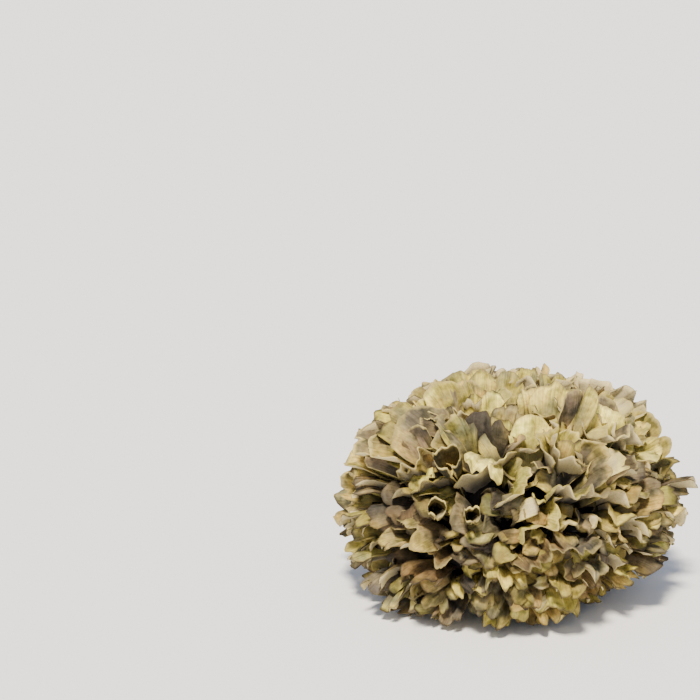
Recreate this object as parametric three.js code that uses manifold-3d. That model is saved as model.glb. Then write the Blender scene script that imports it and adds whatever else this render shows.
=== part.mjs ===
// A head of maitake (hen-of-the-woods): one fruiting body that grew as one piece. A cut foot widens
// into a fleshy core. Short branches leave the core on all sides, and each ends in a rosette of thin,
// waved, fan-shaped caps. The caps cover the head down to the surface that it stands on.
// Millimetres, +Z up. The origin is the middle of the cut foot, on the surface; the front is -Y.
import * as THREE from "three";
import { mergeVertices } from "three/addons/utils/BufferGeometryUtils.js";
import Module from "manifold-3d";

// ---- Driving dimensions ----
const HEAD_WIDTH = 242; // across the caps, along X
const HEAD_DEPTH = 234; // front to back, along Y
const HEAD_HEIGHT = 158; // foot to the highest caps
const WAIST_HEIGHT = 62; // level of the widest caps
const FOOT_RADIUS = 40; // the cut butt
const BRANCH_COUNT = 24; // each carries a rosette of caps
const CAP_COUNT = 172; // caps that grow by rule, beside the crown fans placed by hand
const CAP_HALF_WIDTH = 15.5; // of a middling cap
const SEED = 2;

// The large fans of the crown, placed one by one. A tip and a root are points in millimetres, and
// facing is where the cap's upper face looks: degrees round from +X, then degrees up.
const CROWN_FANS = [
  { tip: [-38, 30, 148], root: [-18, 14, 92], facing: [-80, 15], halfWidth: 19, curl: 0.7, cup: 0.25 },
  { tip: [-10, 20, 152], root: [-14, 8, 94], facing: [-95, 10], halfWidth: 20, curl: 0.6, cup: 0.15 },
  { tip: [13, 22, 153], root: [6, 12, 95], facing: [-120, 30], halfWidth: 10, curl: 1.0, cup: 0.6 },
  { tip: [27, 18, 152], root: [14, 10, 95], facing: [-60, 20], halfWidth: 10, curl: 1.0, cup: 0.5 },
  { tip: [-20, -18, 149], root: [-14, -12, 92], facing: [-100, 35], halfWidth: 15, curl: 0.9, cup: 0.3 },
  { tip: [12, -14, 150], root: [4, -12, 94], facing: [-60, 35], halfWidth: 13, curl: 0.9, cup: 0.3 },
  { tip: [38, -12, 152], root: [26, -40, 88], facing: [-110, 25], halfWidth: 25, curl: 0.9, cup: 0.35 },
  { tip: [8, -45, 141], root: [4, -50, 85], facing: [-85, 30], halfWidth: 14, curl: 0.9, cup: 0.2 },
  { tip: [62, -30, 142], root: [38, -34, 88], facing: [-70, 30], halfWidth: 13, curl: 0.9, cup: 0.4 },
  { tip: [78, 8, 136], root: [42, 4, 84], facing: [-110, 25], halfWidth: 14, curl: 0.9, cup: 0.3 },
  { tip: [92, 2, 124], root: [52, 0, 76], facing: [-110, 40], halfWidth: 13, curl: 1.1, cup: 0.3 },
  { tip: [100, -14, 112], root: [56, -10, 70], facing: [-100, 50], halfWidth: 13, curl: 1.1, cup: 0.2 },
  { tip: [-48, -72, 126], root: [-34, -62, 80], facing: [-70, 50], halfWidth: 13, curl: 0.7, cup: 1.5 },
  { tip: [-28, -92, 116], root: [-18, -46, 98], facing: [-85, 60], halfWidth: 14, curl: 1.4, cup: -0.1 },
  { tip: [-50, -50, 138], root: [-28, -34, 84], facing: [-60, 30], halfWidth: 11, curl: 0.6, cup: 0.6 },
  { tip: [-70, -6, 135], root: [-40, -4, 80], facing: [-90, 30], halfWidth: 16, curl: 0.9, cup: 0.3 },
  { tip: [-88, 20, 122], root: [-50, 12, 76], facing: [-70, 40], halfWidth: 12, curl: 0.9, cup: 0.3 },
];

// Where the head swells or is dented: the way out from the middle, how wide, and how much of its reach.
const BULGES = [
  { way: [-0.75, -0.1, 0.55], width: 0.07, gain: 0.12 },
  { way: [0.77, 0.1, 0.64], width: 0.05, gain: 0.05 },
  { way: [0, -0.6, 0.9], width: 0.1, gain: -0.08 },
  { way: [1, -0.2, -0.05], width: 0.05, gain: 0.07 },
  { way: [0.6, -0.75, -0.4], width: 0.05, gain: -0.1 },
  { way: [-0.87, -0.34, -0.36], width: 0.04, gain: 0.1 },
  { way: [-0.57, -0.55, -0.6], width: 0.04, gain: 0.14 },
  { way: [0.1, -0.8, -0.6], width: 0.05, gain: 0.13 },
];

// Places on the head that caps leave open, as deep gaps.
const HOLLOWS = [
  [-100, -43, 96], [-56, -94, 94], [27, -91, 117], [-58, -101, 49],
  [-87, -79, 50], [104, 40, 84], [20, 112, 80], [-70, 88, 70], [60, 90, 100],
];

// ---- The rule of growth ----
const GOLDEN_ANGLE = Math.PI * (3 - Math.sqrt(5));
const CROWN_POLAR = 0.07; // radians from straight up to the first cap
const BRANCH_CROWN_POLAR = 0.25; // and to the first branch
const HEM_POLAR = 2.2; // and to the lowest of both
const CROWDING_DOWNWARDS = 0.8; // under 1, caps stand closer towards the hem
const LEAN = 0.05; // the head is fuller high on the right and low on the left
const UNDERSIDE_DROP = 20; // the envelope's lower half is centred on the waist and ends below the foot
const GROWTH_HEIGHT = 24; // caps point away from this level on the axis
const ROOT_SHARE = 0.5; // of the way out, where a root lies inside the core
const CORE_SHARE = 0.66; // of the way out, the core's surface
const CROWN_GATHERING = 0.45; // how far a root moves to its branch, at the crown
const HEM_GATHERING = 0; // and at the hem
const SKYWARD = new THREE.Vector3(0, 0, 0.8); // how far upper faces turn to the sky
const CROWN_INWARD = 0.8; // against how far they turn to the middle of their rosette, at the crown
const HEM_INWARD = 0.1; // and at the hem
const INWARD_FADE = 0.4; // under 1, it fades fast below the crown
const CROWN_ROLL = 0.5; // radians either way that a cap may roll about its length, at the crown
const HEM_ROLL = 0.4; // and at the hem, where caps lie in tiers
const FLOOR_GAP = 2.5; // the lowest caps stay this far above the surface
const FLOOR_SOFTNESS = 5; // over which they flatten out towards it
const DROOP = 0.9; // radians that the lowest caps curl more than the highest
const CROWN_SIZE = 1.35; // of caps at the crown, against a middling one
const HEM_SIZE = 0.75; // and at the hem
const FAN_CLEARANCE = 14; // other caps keep this far from a crown fan's face
const HOLLOW_DEPTH = 0.4; // of the way out, the bottom of a hollow
const TRIES = 60; // lies that each cap may choose from
const STRAY = 0.1; // radians that a lie may be off its place
const SPACING_SOFTENER = 9; // mm2, so that two caps that touch don't count for everything
const NEIGHBOUR_DISTANCE = 70; // caps further apart than this don't crowd each other

// ---- A cap's blade ----
const ROOT_HALF_WIDTH = 3;
const ROOT_HALF_THICKNESS = 1.4;
const RIM_HALF_THICKNESS = 0.5;
const SHOULDER_DROP = 0.6; // how far the rim's ends fall back, as a share of the half width
const ROW_PLACES = [0, 0.55, 1]; // of the blade's rows, from root to rim
const ROW_STEPS = [1, 1, 3]; // facets across each row
const FEELER_PLACES = [0.3, 0.5, 0.7, 0.85, 1]; // where a blade feels for its neighbours
const FEELER_SIDES = [-1, -0.6, -0.2, 0.2, 0.6, 1];
const MIDDLE_FEELER = 15; // the one nearest the blade's middle

const lerp = (a, b, t) => a + (b - a) * t;
const smooth = (t) => t * t * (3 - 2 * t);

// A seeded stream of numbers from 0 to 1 (mulberry32).
function randomStream(seed) {
  let state = seed >>> 0;
  return () => {
    state = (state + 0x6d2b79f5) >>> 0;
    let t = state;
    t = Math.imul(t ^ (t >>> 15), t | 1);
    t ^= t + Math.imul(t ^ (t >>> 7), t | 61);
    return ((t ^ (t >>> 14)) >>> 0) / 4294967296;
  };
}

const outward = (azimuth, polar) =>
  new THREE.Vector3(
    Math.sin(polar) * Math.cos(azimuth),
    Math.sin(polar) * Math.sin(azimuth),
    Math.cos(polar),
  );

// How far the head reaches in a direction from the middle of its waist.
function headReach(direction) {
  const halfHeight = direction.z > 0 ? HEAD_HEIGHT - WAIST_HEIGHT : WAIST_HEIGHT + UNDERSIDE_DROP;
  const x = direction.x / (HEAD_WIDTH / 2);
  const y = direction.y / (HEAD_DEPTH / 2);
  const z = direction.z / halfHeight;
  let reach = 1 / Math.sqrt(x * x + y * y + z * z - 2 * LEAN * x * z);
  for (const { way, width, gain } of BULGES) {
    const off = 1 - new THREE.Vector3(...way).normalize().dot(direction);
    reach *= 1 + gain * Math.exp(-off / width);
  }
  return reach;
}

function pointOnHead(azimuth, polar, share) {
  const direction = outward(azimuth, polar);
  const point = direction.clone().multiplyScalar(headReach(direction) * share);
  point.z += WAIST_HEIGHT;
  return point;
}

// Part of the way from where growth starts to a point.
const towards = (point, share) => new THREE.Vector3(0, 0, GROWTH_HEIGHT).lerp(point, share);

// Branches spread by the golden angle from the crown to the hem.
function growBranches() {
  const branches = [];
  for (let i = 0; i < BRANCH_COUNT; i++) {
    const share = (i + 0.5) / BRANCH_COUNT;
    const polar = Math.acos(lerp(Math.cos(BRANCH_CROWN_POLAR), Math.cos(HEM_POLAR), share));
    const tip = pointOnHead(i * GOLDEN_ANGLE + 1, polar, 1);
    branches.push({ tip, base: towards(tip, ROOT_SHARE) });
  }
  return branches;
}

function nearestBranch(branches, point) {
  const distance = (branch) => branch.tip.distanceToSquared(point);
  return branches.reduce((best, branch) => (distance(branch) < distance(best) ? branch : best));
}

// A cap from its root to its tip, with its upper face turned as near to facing as it can be.
function layCap({ root, tip, facing, roll = 0, twist = 0, ...shape }) {
  const along = tip.clone().sub(root);
  const length = along.length();
  along.normalize();
  const up = facing.clone().addScaledVector(along, -facing.dot(along)).normalize();
  up.applyAxisAngle(along, roll);
  const across = up.clone().cross(along);
  return { root, along, across, up, length, twist, ...shape };
}

// A point of a cap: u from -1 to 1 across it, v from 0 at the root to 1 at the rim, side +1 on its
// upper face, -1 on its underside and 0 between them.
function capPoint(cap, u, v, side) {
  const halfWidth = lerp(ROOT_HALF_WIDTH, cap.halfWidth, smooth(v));
  const y = cap.length * v - SHOULDER_DROP * cap.halfWidth * u * u * v * v;
  const ripple = cap.wave * Math.sin(cap.waveCount * u + cap.wavePhase) * v * v;
  const dish = (cap.cup * u * u + cap.twist * u) * halfWidth * v;
  const lift = ripple + dish + side * lerp(ROOT_HALF_THICKNESS, RIM_HALF_THICKNESS, v);
  const bend = cap.curl / 2 - (cap.curl * y) / cap.length;
  const radius = cap.length / cap.curl;
  const forward = radius * (Math.sin(cap.curl / 2) - Math.sin(bend)) - Math.sin(bend) * lift;
  const rise = radius * (Math.cos(bend) - Math.cos(cap.curl / 2)) + Math.cos(bend) * lift;
  const point = cap.root
    .clone()
    .addScaledVector(cap.along, forward)
    .addScaledVector(cap.across, u * halfWidth)
    .addScaledVector(cap.up, rise);
  const above = point.z - FLOOR_GAP;
  point.z = FLOOR_GAP + (above + Math.sqrt(above * above + FLOOR_SOFTNESS ** 2)) / 2;
  return point;
}

// Points that stand for a cap's blade where caps could meet.
const feelersOf = (cap) =>
  FEELER_PLACES.flatMap((v) => FEELER_SIDES.map((u) => capPoint(cap, u, v, 0)));

// How crowded a cap would be among the caps already there.
function crowding(feelers, neighbours) {
  let sum = 0;
  for (const other of neighbours) {
    if (other[MIDDLE_FEELER].distanceTo(feelers[MIDDLE_FEELER]) > NEIGHBOUR_DISTANCE) continue;
    for (const p of feelers)
      for (const q of other) {
        const gap = p.distanceToSquared(q) + SPACING_SOFTENER;
        sum += 1 / (gap * gap);
      }
  }
  return sum;
}

// One lie of a cap, drawn at random round its place. Share is its place in the order from the
// crown to the hem.
function drawLie(between, branches, share, azimuth, size) {
  const polar = Math.acos(
    lerp(Math.cos(CROWN_POLAR), Math.cos(HEM_POLAR), share ** CROWDING_DOWNWARDS),
  );
  const tip = pointOnHead(
    azimuth + between(-STRAY, STRAY) / Math.max(0.3, Math.sin(polar)),
    polar + between(-STRAY, STRAY),
    between(0.9, 1.02),
  );
  const branch = nearestBranch(branches, tip);
  const gathering = lerp(CROWN_GATHERING, HEM_GATHERING, share);
  const inward = branch.tip.clone().sub(tip).normalize();
  const roll = lerp(CROWN_ROLL, HEM_ROLL, share);
  return layCap({
    root: towards(tip, ROOT_SHARE).lerp(branch.base, gathering),
    tip,
    facing: inward.multiplyScalar(lerp(CROWN_INWARD, HEM_INWARD, share ** INWARD_FADE)).add(SKYWARD),
    roll: between(-roll, roll),
    halfWidth: CAP_HALF_WIDTH * size,
    curl: between(0.2, 1.5) + DROOP * share,
    cup: between(-0.1, 0.5),
    wave: between(2, 4.5),
    waveCount: between(3, 5.5),
    wavePhase: between(0, 2 * Math.PI),
    twist: between(-0.2, 0.2),
  });
}

// The crown fans first, then caps spread over the head by the golden angle, from the crown down,
// each taking the least crowded of its lies.
function growCaps() {
  const random = randomStream(SEED);
  const between = (low, high) => lerp(low, high, random());
  const branches = growBranches();
  const caps = CROWN_FANS.map(({ root, tip, facing: [round, up], ...shape }) =>
    layCap({
      root: new THREE.Vector3(...root),
      tip: new THREE.Vector3(...tip),
      facing: outward(THREE.MathUtils.degToRad(round), THREE.MathUtils.degToRad(90 - up)),
      ...shape,
      wave: between(1.5, 3.5),
      waveCount: between(5, 9),
      wavePhase: between(0, 2 * Math.PI),
    }),
  );
  const feelers = caps.map(feelersOf);
  for (const cap of caps) {
    const clearance = cap.up.clone().multiplyScalar(FAN_CLEARANCE);
    feelers.push(feelersOf(cap).map((point) => point.add(clearance)));
  }
  for (const hollow of HOLLOWS) {
    const depth = (i) => lerp(HOLLOW_DEPTH, 1, i / (feelers[0].length - 1));
    feelers.push(feelers[0].map((_, i) => towards(new THREE.Vector3(...hollow), depth(i))));
  }
  for (let i = 0; i < CAP_COUNT; i++) {
    const share = (i + 0.5) / CAP_COUNT;
    const size = between(0.75, 1.25) * lerp(CROWN_SIZE, HEM_SIZE, share);
    let best = null;
    for (let n = 0; n < TRIES; n++) {
      const cap = drawLie(between, branches, share, i * GOLDEN_ANGLE, size);
      const points = feelersOf(cap);
      const crowd = crowding(points, feelers);
      if (!best || crowd < best.crowd) best = { cap, points, crowd };
    }
    caps.push(best.cap);
    feelers.push(best.points);
  }
  return caps;
}

// A cap as a closed blade of few facets, split alike on both faces.
function bladeGeometry(cap) {
  const positions = [];
  const rowsOf = (side) =>
    ROW_PLACES.map((v, row) =>
      Array.from({ length: ROW_STEPS[row] + 1 }, (_, step) => {
        const u = -1 + (2 * step) / ROW_STEPS[row];
        return positions.push(capPoint(cap, u, v, side)) - 1;
      }),
    );
  const upper = rowsOf(1);
  const under = rowsOf(-1);
  const faces = [];
  // Joins two rows whose steps differ, walking along both.
  const joinRows = (near, far, flip) => {
    let a = 0;
    let b = 0;
    while (a < near.length - 1 || b < far.length - 1) {
      const stepFar = (b + 1) / (far.length - 1) <= (a + 1) / (near.length - 1);
      const face = [near[a], stepFar ? far[b + 1] : near[a + 1], far[b]];
      faces.push(flip ? face.reverse() : face);
      if (stepFar) b++;
      else a++;
    }
  };
  for (let row = 0; row < ROW_PLACES.length - 1; row++) {
    joinRows(upper[row], upper[row + 1], true);
    joinRows(under[row], under[row + 1], false);
  }
  // Closes the two faces all round their edge.
  const around = (rows) => [
    ...rows.map((row) => row[0]),
    ...rows.at(-1).slice(1, -1),
    ...rows.toReversed().map((row) => row.at(-1)),
  ];
  const upperEdge = around(upper);
  const underEdge = around(under);
  upperEdge.forEach((id, i) => {
    const next = (i + 1) % upperEdge.length;
    faces.push([id, underEdge[next], upperEdge[next]], [id, underEdge[i], underEdge[next]]);
  });
  return new THREE.BufferGeometry().setFromPoints(positions).setIndex(faces.flat());
}

// The foot and the core that the caps stand on.
function coreGeometry() {
  const profile = [new THREE.Vector2(0, 0), new THREE.Vector2(FOOT_RADIUS, 0)];
  const steps = 6;
  const centreHeight = WAIST_HEIGHT - 6;
  for (let i = 0; i < steps; i++) {
    const polar = lerp(1.95, 0.2, i / (steps - 1));
    const radius = CORE_SHARE * headReach(outward(0, polar));
    profile.push(new THREE.Vector2(radius * Math.sin(polar), centreHeight + radius * Math.cos(polar)));
  }
  profile.push(new THREE.Vector2(0, profile.at(-1).y + 2));
  return new THREE.LatheGeometry(profile, 16).rotateX(Math.PI / 2);
}

const wasm = await Module();
wasm.setup();

function solidFrom(geometry) {
  const bare = geometry.clone();
  bare.deleteAttribute("normal");
  bare.deleteAttribute("uv");
  const merged = mergeVertices(bare, 1e-4);
  return new wasm.Manifold(
    new wasm.Mesh({
      numProp: 3,
      vertProperties: merged.attributes.position.array,
      triVerts: new Uint32Array(merged.index.array),
    }),
  );
}

function geometryFrom(solid) {
  const mesh = solid.getMesh();
  return new THREE.BufferGeometry()
    .setAttribute("position", new THREE.BufferAttribute(mesh.vertProperties, 3))
    .setIndex(new THREE.BufferAttribute(mesh.triVerts, 1));
}

// The largest body alone, so that hollows sealed by the joins are filled and loose scraps dropped.
function largestBody(solid) {
  return solid.decompose().reduce((best, body) => (body.volume() > best.volume() ? body : best));
}

let head = solidFrom(coreGeometry());
for (const cap of growCaps()) head = head.add(solidFrom(bladeGeometry(cap)));

const flesh = new THREE.MeshStandardMaterial({ color: 0xb8a678, roughness: 0.85, metalness: 0 });
const mesh = new THREE.Mesh(geometryFrom(largestBody(head)), flesh);
mesh.name = "maitake_head";
const group = new THREE.Group();
group.add(mesh);
export default group;
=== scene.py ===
# %% [markdown]
# # A head of maitake
#
# Maitake, or hen-of-the-woods, is one fungus that branches into hundreds of thin caps. Each cap is a
# fan of tan skin on top and cream pores below, waved and folded where it met its neighbours. This
# notebook grows the caps again by the rule that placed the solid ones, with a finer blade, more caps
# between them, and the finish of skin, pores and flesh.
#
# Blender counts in metres, +Z up, with the middle of the cut foot at the origin and the front at -Y.
# The rule of growth counts in millimetres, as a maker does, and the tree that makes the caps turns them
# to metres in its last step. Other lengths are written as so many times MM.

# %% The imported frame
import math

import bpy
import numpy as np
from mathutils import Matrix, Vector


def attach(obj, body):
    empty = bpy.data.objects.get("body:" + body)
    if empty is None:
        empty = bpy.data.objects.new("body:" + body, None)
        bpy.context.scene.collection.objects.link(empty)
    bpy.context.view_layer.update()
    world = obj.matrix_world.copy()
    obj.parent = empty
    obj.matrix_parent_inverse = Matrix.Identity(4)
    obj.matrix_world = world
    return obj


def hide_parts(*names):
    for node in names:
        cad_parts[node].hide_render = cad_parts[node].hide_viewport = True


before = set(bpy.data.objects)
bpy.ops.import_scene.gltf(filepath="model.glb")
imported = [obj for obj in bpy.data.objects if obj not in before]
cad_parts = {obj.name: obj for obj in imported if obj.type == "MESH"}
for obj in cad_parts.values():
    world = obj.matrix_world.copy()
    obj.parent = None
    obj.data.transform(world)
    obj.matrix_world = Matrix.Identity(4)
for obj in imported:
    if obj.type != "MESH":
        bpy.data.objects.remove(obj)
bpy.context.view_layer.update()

MM = 0.001
METRE_MM = 1000  # a pattern's scale is how many of its sizes a metre holds

# %% [markdown]
# ## The camera
#
# The head is seen from in front, a little to its left, from about 20 degrees above. A long lens keeps
# the near and the far caps at nearly the same scale. The camera could be aimed with a Track To
# constraint, but it looks straight along +Y and a little down, so one plain angle says the same thing
# and leaves nothing behind to evaluate. The head then stands right of the frame's middle and below it.

# %% The camera
LENS_MM = 111.6
SENSOR_WIDTH_MM = 36
CAMERA_PLACE_MM = (-110.3, -1401.0, 580.0)
CAMERA_DOWN_DEGREES = 16.3

camera = bpy.data.objects.new("camera", bpy.data.cameras.new("camera"))
camera.data.lens = LENS_MM
camera.data.sensor_width = SENSOR_WIDTH_MM
camera.location = [n * MM for n in CAMERA_PLACE_MM]
camera.rotation_euler = (math.radians(90 - CAMERA_DOWN_DEGREES), 0, 0)
bpy.context.collection.objects.link(camera)
bpy.context.scene.camera = camera
print("camera", round(camera.location.length, 2), "m from the foot")

# %% [markdown]
# ## The rule of growth
#
# A real head branches again and again, and each cap spreads where it finds room. The solid head was
# grown by a rule that does the same: 24 branches spread by the golden angle, and caps round them, each
# taking the least crowded of 60 random lies. The caps could be read off the solid, but the same rule
# with the same seed gives each cap's own numbers, so every fine cap lies on its solid one. The random
# numbers come from mulberry32, a tiny generator that is easy to write in any language.

# %% Sizes of the head
HEAD_WIDTH = 242  # across the caps, along X
HEAD_DEPTH = 234  # front to back, along Y
HEAD_HEIGHT = 158  # foot to the highest caps
WAIST_HEIGHT = 62  # level of the widest caps
FOOT_RADIUS = 40  # the cut butt
LEAN = 0.05  # the head is fuller high on the right and low on the left
UNDERSIDE_DROP = 20  # its lower half is centred on the waist and ends this far below the foot
GROWTH_HEIGHT = 24  # caps point away from this level on the axis
FLOOR_GAP = 2.5  # the lowest caps stay this far above the floor
FLOOR_SOFTNESS = 5  # over which they flatten out towards it
SEED = 2

# where the head swells or is dented: the way out from its waist, how wide, and how much of its reach
BULGES = [
    ((-0.75, -0.1, 0.55), 0.07, 0.12),
    ((0.77, 0.1, 0.64), 0.05, 0.05),
    ((0, -0.6, 0.9), 0.1, -0.08),
    ((1, -0.2, -0.05), 0.05, 0.07),
    ((0.6, -0.75, -0.4), 0.05, -0.1),
    ((-0.87, -0.34, -0.36), 0.04, 0.1),
    ((-0.57, -0.55, -0.6), 0.04, 0.14),
    ((0.1, -0.8, -0.6), 0.05, 0.13),
]
print("the rule's head, mm:", (HEAD_WIDTH, HEAD_DEPTH, HEAD_HEIGHT), "before it swells and dents")


# %% Random numbers
def random_numbers(seed, count):
    """A seeded run of numbers from 0 to 1 (mulberry32)."""
    low_32 = np.uint64(0xFFFFFFFF)
    state = (np.uint64(seed) + np.uint64(0x6D2B79F5) * np.arange(1, count + 1, dtype=np.uint64)) & low_32
    t = ((state ^ (state >> np.uint64(15))) * (state | np.uint64(1))) & low_32
    t ^= (t + (t ^ (t >> np.uint64(7))) * (t | np.uint64(61))) & low_32
    return ((t ^ (t >> np.uint64(14))) & low_32) / 2 ** 32


def lerp(low, high, share):
    return low + (high - low) * share


print("the first random numbers:", np.round(random_numbers(SEED, 3), 3))


# %% Places on the head
def unit(vectors):
    return vectors / np.linalg.norm(vectors, axis=-1, keepdims=True)


def outward(azimuth, polar):
    """Ways out, by radians round from +X and radians down from straight up."""
    azimuth, polar = np.broadcast_arrays(azimuth, polar)
    return np.stack([np.sin(polar) * np.cos(azimuth), np.sin(polar) * np.sin(azimuth), np.cos(polar)], -1)


def head_reach(direction):
    """How far the head reaches in a direction from the middle of its waist."""
    half_height = np.where(direction[..., 2] > 0, HEAD_HEIGHT - WAIST_HEIGHT, WAIST_HEIGHT + UNDERSIDE_DROP)
    x = direction[..., 0] / (HEAD_WIDTH / 2)
    y = direction[..., 1] / (HEAD_DEPTH / 2)
    z = direction[..., 2] / half_height
    reach = 1 / np.sqrt(x * x + y * y + z * z - 2 * LEAN * x * z)
    for way, width, gain in BULGES:
        off = 1 - direction @ unit(np.array(way, float))
        reach = reach * (1 + gain * np.exp(-off / width))
    return reach


def point_on_head(azimuth, polar, share):
    direction = outward(azimuth, polar)
    return direction * (head_reach(direction) * share)[..., None] + (0, 0, WAIST_HEIGHT)


def towards(points, share):
    """Part of the way from where growth starts to each point."""
    start = np.array([0, 0, GROWTH_HEIGHT])
    return start + (points - start) * share


# %% The branches
BRANCH_COUNT = 24  # each carries a rosette of caps
GOLDEN_ANGLE = math.pi * (3 - math.sqrt(5))
FIRST_BRANCH_TURN = 1  # radians round from +X
BRANCH_CROWN_POLAR = 0.25  # radians from straight up to the first branch
HEM_POLAR = 2.2  # and to the lowest branch and the lowest cap
ROOT_SHARE = 0.5  # of the way out, where branches end and caps have their roots

branch_share = (np.arange(BRANCH_COUNT) + 0.5) / BRANCH_COUNT
branch_polar = np.arccos(lerp(math.cos(BRANCH_CROWN_POLAR), math.cos(HEM_POLAR), branch_share))
branch_azimuth = np.arange(BRANCH_COUNT) * GOLDEN_ANGLE + FIRST_BRANCH_TURN
branch_tips = point_on_head(branch_azimuth, branch_polar, np.ones(BRANCH_COUNT))
branch_bases = towards(branch_tips, ROOT_SHARE)
print(len(branch_tips), "branches, the lowest at", round(branch_tips[:, 2].min()), "mm")

# %% [markdown]
# ## How a cap lies, and how it feels for its neighbours
#
# A cap runs from a root inside the core to a tip on the head, and is curled, cupped, waved and twisted
# by its own numbers. Whether two caps would meet could be tested face by face. Thirty points on each
# blade are enough to say how crowded it is, and NumPy compares all the lies of a cap in one go.

# %% How a cap lies
ROOT_HALF_WIDTH = 3
SHOULDER_DROP = 0.6  # how far the rim's ends fall back, as a share of the half width


def lay_caps(root, tip, facing, roll, **shape):
    """Caps from root to tip, each with its upper face turned as near to facing as it can be."""
    length = np.linalg.norm(tip - root, axis=-1)
    along = (tip - root) / length[..., None]
    up = unit(facing - along * np.sum(facing * along, -1, keepdims=True))
    roll = np.asarray(roll)[..., None]
    up = up * np.cos(roll) + np.cross(along, up) * np.sin(roll)
    lie = dict(root=root, along=along, across=np.cross(up, along), up=up, length=length)
    return {**lie, **shape}


# %% How a cap feels for its neighbours
FEELER_PLACES = [0.3, 0.5, 0.7, 0.85, 1]  # out from the root, where a blade feels
FEELER_SIDES = [-1, -0.6, -0.2, 0.2, 0.6, 1]  # and across it
FEELER_V, FEELER_U = np.meshgrid(FEELER_PLACES, FEELER_SIDES, indexing="ij")
MIDDLE_FEELER = 15  # the one nearest the blade's middle
SPACING_SOFTENER = 9  # mm2, so that two caps that touch don't count for everything


def feelers_of(caps):
    """Points that stand for each cap's blade where caps could meet."""
    cap = {name: np.asarray(value)[..., None, None] for name, value in caps.items() if np.ndim(value) < 2}
    u, v = FEELER_U, FEELER_V
    half_width = lerp(ROOT_HALF_WIDTH, cap["half_width"], v * v * (3 - 2 * v))
    y = cap["length"] * v - SHOULDER_DROP * cap["half_width"] * u * u * v * v
    ripple = cap["wave"] * np.sin(cap["wave_count"] * u + cap["wave_phase"]) * v * v
    lift = ripple + (cap["cup"] * u * u + cap["twist"] * u) * half_width * v
    bend = cap["curl"] / 2 - cap["curl"] * y / cap["length"]
    radius = cap["length"] / cap["curl"]
    half_curl = cap["curl"] / 2
    forward = radius * (np.sin(half_curl) - np.sin(bend)) - np.sin(bend) * lift
    rise = radius * (np.cos(bend) - np.cos(half_curl)) + np.cos(bend) * lift
    place = {name: caps[name][:, None, None, :] for name in ("root", "along", "across", "up")}
    points = place["root"] + place["along"] * forward[..., None]
    points = points + place["across"] * (u * half_width)[..., None] + place["up"] * rise[..., None]
    above = points[..., 2] - FLOOR_GAP
    points[..., 2] = FLOOR_GAP + (above + np.sqrt(above * above + FLOOR_SOFTNESS ** 2)) / 2
    return points.reshape(len(points), -1, 3)


def crowding(feelers, taken, neighbour_distance):
    """How crowded each lie would be among the caps already there."""
    gap = np.linalg.norm(feelers[:, None, MIDDLE_FEELER] - taken[None, :, MIDDLE_FEELER], axis=-1)
    near = gap <= neighbour_distance
    close = near.any(0)
    if not close.any():
        return np.zeros(len(feelers))
    p = feelers.reshape(-1, 3)
    q = taken[close].reshape(-1, 3)
    squared = (p * p).sum(1)[:, None] + (q * q).sum(1)[None] - 2 * p @ q.T + SPACING_SOFTENER
    felt = (1 / (squared * squared)).reshape(len(feelers), feelers.shape[1], close.sum(), -1).sum((1, 3))
    return (felt * near[:, close]).sum(1)


print("each blade feels with", FEELER_U.size, "points")

# %% [markdown]
# ## The crown fans
#
# The largest caps stand at the crown, and they decide how the head looks from a step away, so a table
# places them one by one. Only their folds are drawn at random, three numbers for each fan.

# %% The crown fans
# tip, root, direction that the upper face looks in (degrees round, degrees up), half width, curl, cup
CROWN_FANS = [
    ((-38, 30, 148), (-18, 14, 92), (-80, 15), 19, 0.7, 0.25),
    ((-10, 20, 152), (-14, 8, 94), (-95, 10), 20, 0.6, 0.15),
    ((13, 22, 153), (6, 12, 95), (-120, 30), 10, 1.0, 0.6),
    ((27, 18, 152), (14, 10, 95), (-60, 20), 10, 1.0, 0.5),
    ((-20, -18, 149), (-14, -12, 92), (-100, 35), 15, 0.9, 0.3),
    ((12, -14, 150), (4, -12, 94), (-60, 35), 13, 0.9, 0.3),
    ((38, -12, 152), (26, -40, 88), (-110, 25), 25, 0.9, 0.35),
    ((8, -45, 141), (4, -50, 85), (-85, 30), 14, 0.9, 0.2),
    ((62, -30, 142), (38, -34, 88), (-70, 30), 13, 0.9, 0.4),
    ((78, 8, 136), (42, 4, 84), (-110, 25), 14, 0.9, 0.3),
    ((92, 2, 124), (52, 0, 76), (-110, 40), 13, 1.1, 0.3),
    ((100, -14, 112), (56, -10, 70), (-100, 50), 13, 1.1, 0.2),
    ((-48, -72, 126), (-34, -62, 80), (-70, 50), 13, 0.7, 1.5),
    ((-28, -92, 116), (-18, -46, 98), (-85, 60), 14, 1.4, -0.1),
    ((-50, -50, 138), (-28, -34, 84), (-60, 30), 11, 0.6, 0.6),
    ((-70, -6, 135), (-40, -4, 80), (-90, 30), 16, 0.9, 0.3),
    ((-88, 20, 122), (-50, 12, 76), (-70, 40), 12, 0.9, 0.3),
]
FAN_DRAWS = 3  # random numbers for each fan's folds
FAN_WAVE, FAN_WAVE_COUNT = (1.5, 3.5), (5, 9)  # height of its folds, and radians of them over a half blade


def lay_fans(rows, numbers):
    """Caps that a table places one by one, with their folds drawn at random."""
    tips, roots, facings, *shape = [np.array(column, float) for column in zip(*rows)]
    draws = numbers.reshape(len(rows), FAN_DRAWS)
    return lay_caps(
        roots,
        tips,
        outward(np.radians(facings[:, 0]), np.radians(90 - facings[:, 1])),
        np.zeros(len(tips)),
        **dict(zip(("half_width", "curl", "cup"), shape)),
        wave=lerp(*FAN_WAVE, draws[:, 0]),
        wave_count=lerp(*FAN_WAVE_COUNT, draws[:, 1]),
        wave_phase=lerp(0, 2 * math.pi, draws[:, 2]),
        twist=np.zeros(len(tips)),
    )


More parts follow.
